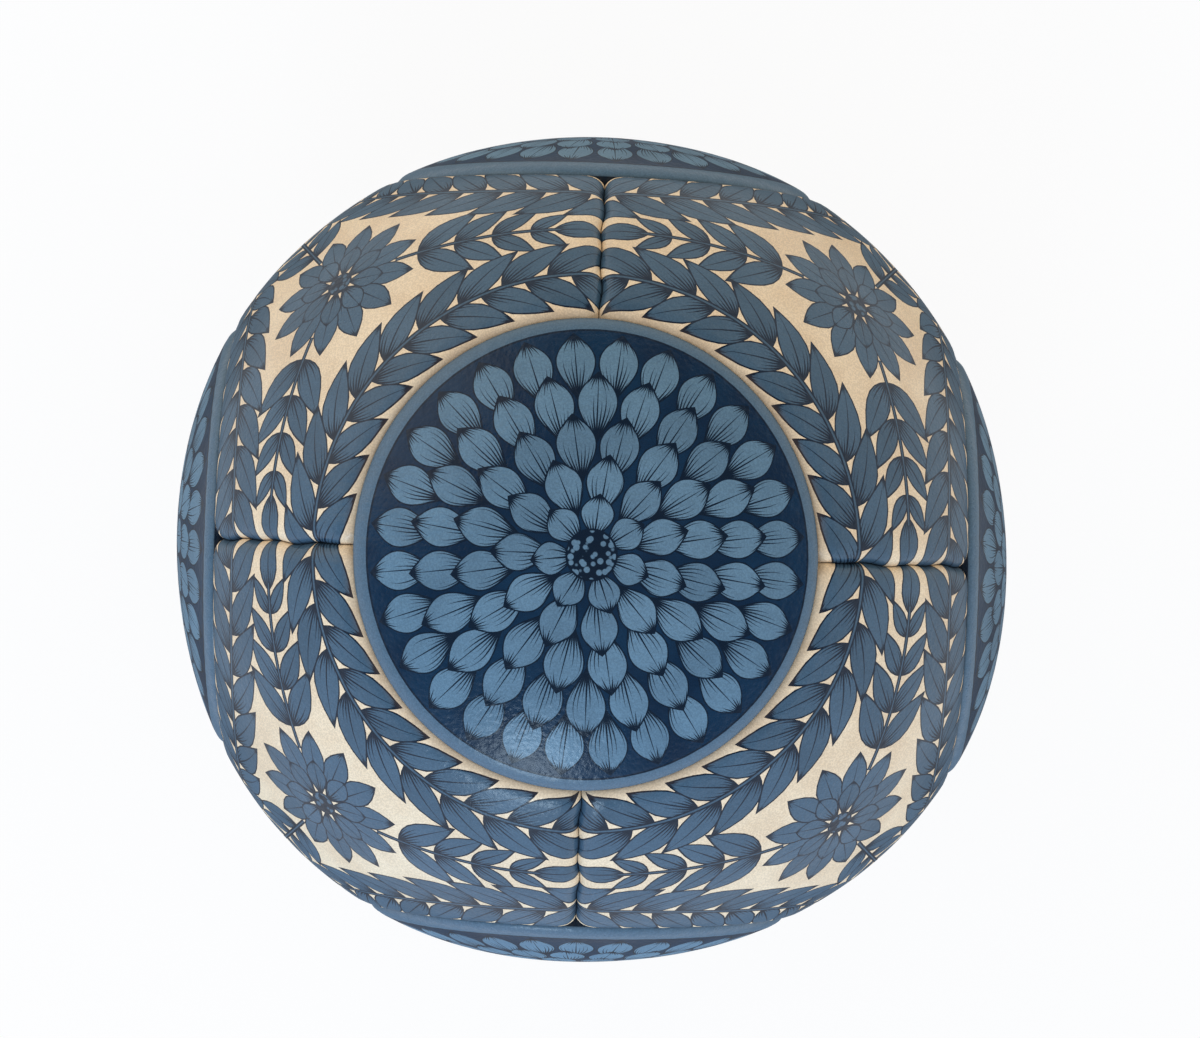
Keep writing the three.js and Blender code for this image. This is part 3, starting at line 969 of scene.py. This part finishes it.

# Grain, darkening at the seams, painted shadow below the caps' edges and gloss of the leather
CLOUD_SIZE = 14.0
CLOUD_LIMITS = (0.35, 0.65)
SPECKLE_SIZE = 0.45
SPECKLE_LIMITS = (0.62, 0.42)
SPECKLE_INK = 0.16
SEAM_LINE_LIMITS = (0.35, 0.05)  # distances from the seam between which the dark line fades in
SEAM_LINE_INK = 0.2
# painted shadow below a cap's edge: distances from the round seam between which it fades in, and its
# strength
PAINTED_SHADOW_LIMITS = (3.2, 0.2)
PAINTED_SHADOW_SHARE = 0.34
PEBBLE_SIZE = 1.15
PEBBLE_HEIGHT = 0.7
PORE_SIZE = 0.5
PORE_HEIGHT = 0.4
GRAIN_DEPTH = 0.12
WEAR_SIZE = 9.0
LEATHER_ROUGHNESS = 0.21
WEAR_ROUGHNESS = 0.12
PEBBLE_ROUGHNESS = 0.05
EDGE_ON_LIMITS = (0.45, 0.85)
EDGE_ON_ROUGHNESS = 0.5
LEATHER_SPECULAR = 0.36


def ink_lines(shader, along, across, length, half, reach, tone, width):
    """Engraver's lines that start at both ends of a shape and taper out, each with its own length."""
    lanes = half / HATCH_PITCH
    lane = across / width.at_least(HATCH_NARROWEST) * lanes
    line = lane.whole()
    offset = abs(lane - line) * width / lanes
    lines = 0
    for from_end, share, seed in zip((along, length - along), (1.0, HATCH_TIP_SHARE), HATCH_SEEDS):
        luck = shader.chance(line, tone * TONE_SPREAD, seed)
        taper = 1 - from_end / (reach * share * (HATCH_SHORTEST + luck * (1 - HATCH_SHORTEST)))
        half_line = (taper * HATCH_TAPER).at_most(1) * HATCH_HALF_WIDTH
        drawn = shader.ramp(offset, half_line + LINE_BLUR, half_line - LINE_BLUR)
        lines = drawn * shader.ramp(taper, 0, HATCH_END) + lines
    return lines


def printed_leather(name, ground, slate, rimmed):
    """Grained leather with the print that the mesh layers describe, and a painted shadow on the corner
    panels below a cap's edge.
    """
    shader = Shader(name)
    along, across = shader.pair("motif")
    length, half = shader.pair("size")
    reach, tone = shader.pair("ink")
    kind, peak = shader.pair("kind")
    seam, round_edge = shader.pair("edge")
    place = shader.place()

    def drawn_under(value, limit):
        return shader.ramp(value, limit + LINE_BLUR, limit - LINE_BLUR)

    share = (along / length.at_least(LEAST_LENGTH)).at_least(0).at_most(1)
    marks = (LEAF, STEM, DISC)
    printed, even, disc = (shader.ramp(kind, *[mark + limit for limit in KIND_BLUR]) for mark in marks)
    swell = (share**peak * math.pi).sine()
    width = half * swell.at_least(even)
    outline = drawn_under(width - abs(across), OUTLINE_WIDTH)
    hatch = ink_lines(shader, along, across, length, half, reach, tone, width) * (1 - even)
    rib = drawn_under(abs(across), RIB_HALF_WIDTH * (1 - share)) * (1 - even)
    seed_gaps = shader.ramp(shader.cells(place, SEED_SIZE, "F1"), *SEED_GAP) * disc
    ink = (outline + hatch + rib + seed_gaps).at_most(1) * printed

    clouds = shader.noise(place, CLOUD_SIZE, detail=3)
    speckle = shader.noise(place, SPECKLE_SIZE, detail=1)
    motif = shader.blend(shader.ramp(clouds + tone * TONE_SHARE, *TONE_LIMITS), *slate)
    plain = shader.blend(shader.ramp(clouds, *CLOUD_LIMITS), *ground)
    colour = shader.blend(printed, plain, motif)
    if rimmed:
        rim = drawn_under(round_edge, RIM_WIDTH)
        line = drawn_under(abs(round_edge - RIM_WIDTH - RIM_LINE_WIDTH / 2), RIM_LINE_WIDTH / 2)
        colour = shader.blend(rim, colour, RIM_SLATE)
        ink = (ink * (1 - rim)).at_least(line)
    colour = shader.blend(ink, colour, INK)
    colour = shader.blend(shader.ramp(speckle, *SPECKLE_LIMITS) * SPECKLE_INK, colour, INK)
    colour = shader.blend(shader.ramp(seam, *SEAM_LINE_LIMITS) * SEAM_LINE_INK, colour, INK)
    if not rimmed:
        # painted shadow on a corner panel below a cap's overhanging edge
        colour = shader.blend(shader.ramp(round_edge, *PAINTED_SHADOW_LIMITS) * PAINTED_SHADOW_SHARE, colour, PAINTED_SEAM_SHADOW)
    # The turned-in flange is inked dark: partly the unprinted cut edge, partly painted shade that blackens
    # the hollows where seams meet.
    colour = shader.blend(shader.ramp(seam, 0.0, PAST_SEAM), colour, INK)

    pebbles = shader.cells(place, PEBBLE_SIZE, "SMOOTH_F1")
    pores = shader.noise(place, PORE_SIZE, detail=2)
    shader.bump(pebbles * PEBBLE_HEIGHT + pores * PORE_HEIGHT, GRAIN_DEPTH)
    worn = shader.noise(place, WEAR_SIZE, detail=3)
    facing = Value(shader, shader.node("ShaderNodeLayerWeight").outputs["Facing"])
    edge_on = shader.ramp(facing, *EDGE_ON_LIMITS)
    roughness = LEATHER_ROUGHNESS + worn * WEAR_ROUGHNESS + pebbles * PEBBLE_ROUGHNESS
    shader.set(Base_Color=colour, Roughness=roughness + edge_on * EDGE_ON_ROUGHNESS)
    shader.set(Specular_IOR_Level=LEATHER_SPECULAR)
    return shader.material


def raw_leather():
    """The unfinished back of the leather: short buff fibres."""
    shader = Shader("raw_leather_back")
    fibres = shader.noise(shader.place(), size=0.6, detail=4)
    colours = srgb(168, 150, 124), srgb(205, 190, 165)
    return shader.plain(fibres, *colours, fibres, depth=0.25, roughness=0.85 + fibres * 0.1)


def cloth(name, light, dark, pitch):
    """Plain weave: two sets of slanting yarns that pass over and under."""
    shader = Shader(name)
    place = shader.place()
    slant = 0.6
    x, y, z = shader.parts(place)
    warp = ((x + z * slant) * (math.pi / pitch)).sine()
    weft = ((y - z * slant) * (math.pi / pitch)).sine()
    weave = warp * weft * 0.5 + 0.5
    slubs = shader.noise(place, size=2.5, detail=3)
    share = weave * 0.6 + slubs * 0.4
    return shader.plain(share, dark, light, weave, depth=0.2, roughness=0.88 + slubs * 0.1)


def rubber(name, light, dark, roughness):
    """Moulded rubber with a fine bloom."""
    shader = Shader(name)
    place = shader.place()
    bloom = shader.noise(place, size=3.0, detail=4)
    skin = shader.noise(place, size=0.25, detail=1)
    return shader.plain(bloom, dark, light, skin, depth=0.03, roughness=roughness + bloom * 0.2)


def waxed_thread():
    """Plied polyester thread under wax."""
    shader = Shader("waxed_thread")
    x, y, z = shader.parts(shader.place())
    plies = ((x + y + z) * 4.2).sine() * 0.5 + 0.5
    colours = srgb(22, 28, 38), srgb(48, 58, 72)
    return shader.plain(plies, *colours, plies, depth=0.12, roughness=0.5 + plies * 0.15)


# Valve

TURNED_STEPS = 64
VALVE_FLANGE_STEPS = 4
HOUSING_ROUNDING = 0.3
CORE_ROUNDING = 0.35
ROUNDING_STEPS = 4
ROUNDING_ROOM = 2.2  # a rounding takes less than half of the shorter side beside it
SHARP_ANGLE = math.radians(40)


def rounded(profile, radius):
    """An outline with its corners rounded, as far as its sides leave room."""
    smooth_profile = []
    count = len(profile)
    for number in range(count):
        before, corner, after = (np.array(profile[(number + k) % count], float) for k in (-1, 0, 1))
        sides = before - corner, after - corner
        lengths = [np.linalg.norm(side) for side in sides]
        cut = min(radius, min(lengths) / ROUNDING_ROOM)
        start, stop = (corner + side / length * cut for side, length in zip(sides, lengths))
        for t in np.linspace(0, 1, ROUNDING_STEPS):
            smooth_profile.append((1 - t) ** 2 * start + 2 * t * (1 - t) * corner + t**2 * stop)
    return smooth_profile


def turned_object(name, profile, material):
    """Turns a closed outline of radius and height round +Y. Points on the axis become one point each."""
    points = []
    rings = []
    for radius, height in profile:
        count = TURNED_STEPS if radius > WELD else 1
        rings.append([len(points) + step % count for step in range(TURNED_STEPS)])
        points += [(x, height, z) for z, x in circle(radius, count)]
    faces = []
    for ring, after in zip(rings, rings[1:] + rings[:1]):
        for step in range(TURNED_STEPS):
            ahead = (step + 1) % TURNED_STEPS
            face = list(dict.fromkeys((ring[step], after[step], after[ahead], ring[ahead])))
            if len(face) > 2:
                faces.append(face)
    mesh = bpy.data.meshes.new(name)
    mesh.from_pydata([tuple(MM * c for c in p) for p in points], [], faces)
    mesh.materials.append(material)
    mesh.shade_smooth()
    mesh.set_sharp_from_angle(angle=SHARP_ANGLE)
    return add_object(name, mesh)


def on_meridian(radius, sideways):
    """A point at a radius of the ball and a distance beside the +Y axis."""
    return sideways, math.sqrt(radius**2 - sideways**2)


def housing_profile():
    """Stem with the core's seat and bore, and the flange that is bonded to the bladder."""
    seat = VALVE_TOP - CORE_HEAD_HEIGHT - CLEARANCE
    foot = CORE_FOOT - CLEARANCE
    spread = np.linspace(STEM_RADIUS, VALVE_FLANGE_RADIUS, VALVE_FLANGE_STEPS)
    top_side = [on_meridian(VALVE_FLANGE_TOP, r) for r in spread]
    under_side = [on_meridian(VALVE_FLANGE_FOOT, r) for r in spread[::-1]]
    outline = [(HEAD_SEAT_RADIUS, VALVE_TOP), (STEM_RADIUS, VALVE_TOP), *top_side, *under_side]
    outline += [(STEM_RADIUS, foot), (BORE_RADIUS, foot), (BORE_RADIUS, seat), (HEAD_SEAT_RADIUS, seat)]
    return rounded(outline, HOUSING_ROUNDING)


def core_profile():
    """Head, ribbed shank and needle hole."""
    head_foot = VALVE_TOP - CORE_HEAD_HEIGHT
    hole_foot = VALVE_TOP - NEEDLE_HOLE_DEPTH
    pitch = (head_foot - CORE_FOOT) / (CORE_RIB_COUNT + 1)
    outline = [
        (NEEDLE_HOLE_RADIUS, hole_foot),
        (NEEDLE_HOLE_RADIUS, VALVE_TOP - NEEDLE_LEAD_DEPTH),
        (NEEDLE_LEAD_RADIUS, VALVE_TOP),
        (CORE_HEAD_RADIUS, VALVE_TOP),
        (CORE_HEAD_RADIUS, head_foot),
        (CORE_SHANK_RADIUS, head_foot),
    ]
    for rib in range(1, CORE_RIB_COUNT + 1):
        middle = head_foot - rib * pitch
        top, foot = middle + CORE_RIB_HEIGHT / 2, middle - CORE_RIB_HEIGHT / 2
        outline += [(CORE_SHANK_RADIUS, top), (CORE_RIB_RADIUS, middle), (CORE_SHANK_RADIUS, foot)]
    outline.append((CORE_SHANK_RADIUS, CORE_FOOT))
    return [(0, CORE_FOOT), (0, hole_foot), *rounded(outline, CORE_ROUNDING)]


# Leather panels on the ball

leather_back = raw_leather()
cap_leather = printed_leather("printed_cap_leather", NAVY, CAP_SLATE, rimmed=True)
corner_leather = printed_leather("printed_corner_leather", CREAM, CORNER_SLATE, rimmed=False)
cap_motifs = cap_print()
corner_motifs = corner_print()

for side, direction in SIDES.items():
    out = np.array(direction, float)
    up = np.array(SIDES["back"] if direction[2] else SIDES["top"], float)
    hole = STEM_HOLE_RADIUS if side == VALVE_SIDE else 0
    panel = CapPanel(np.array((np.cross(up, out), up, out)), hole)
    cut = Cut(cap_ring, cap_motifs, CAP_PRINT_TURN, hole)
    leather = panel_object(f"leather_cap_{side}", panel, cut, [cap_leather, leather_back])
    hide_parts(f"panel_cap_{side}")
    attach(leather, "ball")

for x, y, z in product(("right", "left"), ("back", "front"), ("top", "bottom")):
    flips = np.diag((SIDES[x][0], SIDES[y][1], SIDES[z][2])).astype(float)
    panel = CornerPanel(flips)
    cut = Cut(corner_ring, corner_motifs, CORNER_PRINT_TURN)
    leather = panel_object(f"leather_corner_{z}_{y}_{x}", panel, cut, [corner_leather, leather_back])
    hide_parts(f"panel_corner_{z}_{y}_{x}")
    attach(leather, "ball")


# Valve pieces

housing_rubber = rubber("valve_rubber", srgb(52, 54, 58), srgb(30, 31, 34), roughness=0.45)
housing = turned_object("valve_stem", housing_profile(), housing_rubber)
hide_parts("valve_housing")
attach(housing, "ball")

core_rubber = rubber("core_rubber", srgb(66, 69, 74), srgb(44, 46, 51), roughness=0.5)
core = turned_object("valve_plug", core_profile(), core_rubber)
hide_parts("valve_core")
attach(core, "valve_core")


# Finishes of the pieces under the leather

inner_finishes = {
    "lining": cloth("lining_cloth", srgb(222, 214, 198), srgb(176, 166, 148), pitch=0.55),
    "thread": waxed_thread(),
    "bladder": rubber("bladder_rubber", srgb(58, 54, 52), srgb(34, 32, 31), roughness=0.4),
    "valve_patch": cloth("patch_cloth", srgb(206, 200, 188), srgb(150, 142, 128), pitch=0.7),
}
for node_name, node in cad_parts.items():
    for start, material in inner_finishes.items():
        if node_name.startswith(start):
            for slot in node.material_slots:
                slot.material = material


# Studio: white floor, white surroundings and soft lamps

WHITE = (1, 1, 1, 1)
FLOOR_WHITE = (0.9, 0.9, 0.9, 1)
FLOOR_REACH = 6.0
FLOOR_GLOW = 0.9  # share of the floor that shows as plain white, the rest takes the ball's shadow
WORLD_LEVEL = 0.45
OVERHEAD_LEVEL = 0.88  # added from above
OVERHEAD = Vector((0.12, -0.52, 0.85))
HORIZON_TOP = 0.2
CEILING_FOOT = 0.6
CEILING_LEVEL = 0.04
WARM = (1.16, 0.94, 0.60, 1)
COOL = (0.48, 0.72, 1.16, 1)
WARM_SIDE = Vector((0.39, 0.92, 0))


def seen_directly(nodes):
    """1 for the rays of the camera and of mirror and glass surfaces, 0 for the light on the object."""
    path = nodes.node("ShaderNodeLightPath")
    seen = Value(nodes, path.outputs["Is Camera Ray"])
    for name in ("Is Glossy Ray", "Is Transmission Ray"):
        seen = seen.at_least(path.outputs[name])
    return seen


def mixed(nodes, share, first, second):
    """A surface between two, by a share from 0 to 1."""
    inputs = {"Fac": share, 1: first.outputs[0], 2: second.outputs[0]}
    return nodes.node("ShaderNodeMixShader", inputs).outputs[0]


def white_floor():
    material = bpy.data.materials.new("white_floor")
    nodes = Nodes(material)
    diffuse = nodes.node("ShaderNodeBsdfDiffuse", {"Color": FLOOR_WHITE})
    glow = nodes.node("ShaderNodeEmission", {"Color": WHITE})
    surface = mixed(nodes, seen_directly(nodes) * FLOOR_GLOW, diffuse, glow)
    nodes.node("ShaderNodeOutputMaterial", {"Surface": surface})
    return material


def add_floor():
    level = cad_box[0].z
    signs = ((-1, -1), (1, -1), (1, 1), (-1, 1))
    mesh = bpy.data.meshes.new("floor")
    mesh.from_pydata([(FLOOR_REACH * x, FLOOR_REACH * y, level) for x, y in signs], [], [(0, 1, 2, 3)])
    mesh.materials.append(white_floor())
    add_object("floor", mesh)


def add_world():
    """White near the horizon, where a view from the side sees it, under a dark ceiling.

    The light that it casts is warm from the room's side and cool from the window's side, across from it.
    """
    world = bpy.data.worlds.new("studio")
    bpy.context.scene.world = world
    nodes = Nodes(world)
    direction = nodes.node("ShaderNodeTexCoord").outputs["Generated"]
    height = nodes.parts(direction)[2]
    heights = {"From_Min": HORIZON_TOP, "From_Max": CEILING_FOOT}
    shown_level = nodes.scaled(height, "SMOOTHSTEP", To_Min=1.0, To_Max=CEILING_LEVEL, **heights)
    shown = nodes.node("ShaderNodeBackground", {"Color": WHITE, "Strength": shown_level})
    warmth = nodes.scaled(nodes.toward(direction, WARM_SIDE), From_Min=-1.0)
    levels = {"To_Min": WORLD_LEVEL, "To_Max": WORLD_LEVEL + OVERHEAD_LEVEL}
    level = nodes.scaled(nodes.toward(direction, OVERHEAD), **levels)
    light = nodes.node("ShaderNodeBackground", {"Color": nodes.blend(warmth, COOL, WARM), "Strength": level})
    nodes.node("ShaderNodeOutputWorld", {"Surface": mixed(nodes, seen_directly(nodes), light, shown)})


def add_lamp(name, direction, distance, size, power, colour):
    """A square soft lamp that faces the ball from a direction."""
    lamp = bpy.data.lights.new(name, "AREA")
    lamp.shape = "SQUARE"
    lamp.size = size
    lamp.energy = power
    lamp.color = colour
    away = Vector(direction).normalized()
    facing = away.to_track_quat("Z", "Y").to_matrix().to_4x4()
    add_object(name, lamp).matrix_world = Matrix.Translation(away * distance) @ facing


# Camera: straight over the top cap, as the photograph was taken

PHOTO_WIDTH = 1200
PHOTO_HEIGHT = 1038
BALL_X, BALL_Y = 591.0, 550.3  # the ball's middle in the photograph, in pixels
FOCAL_PIXELS = 3306.0
CAMERA_HEIGHT = 0.88
ROLL = math.radians(2.2)
SENSOR_WIDTH = 36.0


def add_camera():
    lens = bpy.data.cameras.new("camera")
    lens.sensor_fit = "HORIZONTAL"
    lens.sensor_width = SENSOR_WIDTH
    lens.lens = SENSOR_WIDTH * FOCAL_PIXELS / PHOTO_WIDTH
    per_pixel = CAMERA_HEIGHT / FOCAL_PIXELS
    aside = (PHOTO_WIDTH / 2 - BALL_X) * per_pixel
    above = (BALL_Y - PHOTO_HEIGHT / 2) * per_pixel
    camera = add_object("camera", lens)
    camera.matrix_world = Matrix.Rotation(ROLL, 4, "Z") @ Matrix.Translation((aside, above, CAMERA_HEIGHT))
    bpy.context.scene.camera = camera


add_floor()
add_world()
add_lamp("window", (-0.21, -0.82, 0.52), distance=1.7, size=0.46, power=8.0, colour=(0.66, 0.84, 1.0))
add_lamp("room_lamp", (-0.7, 0.5, 0.5), distance=1.7, size=1.6, power=6.5, colour=(1.0, 0.86, 0.66))
add_camera()
bpy.context.scene.view_settings.view_transform = "Standard"
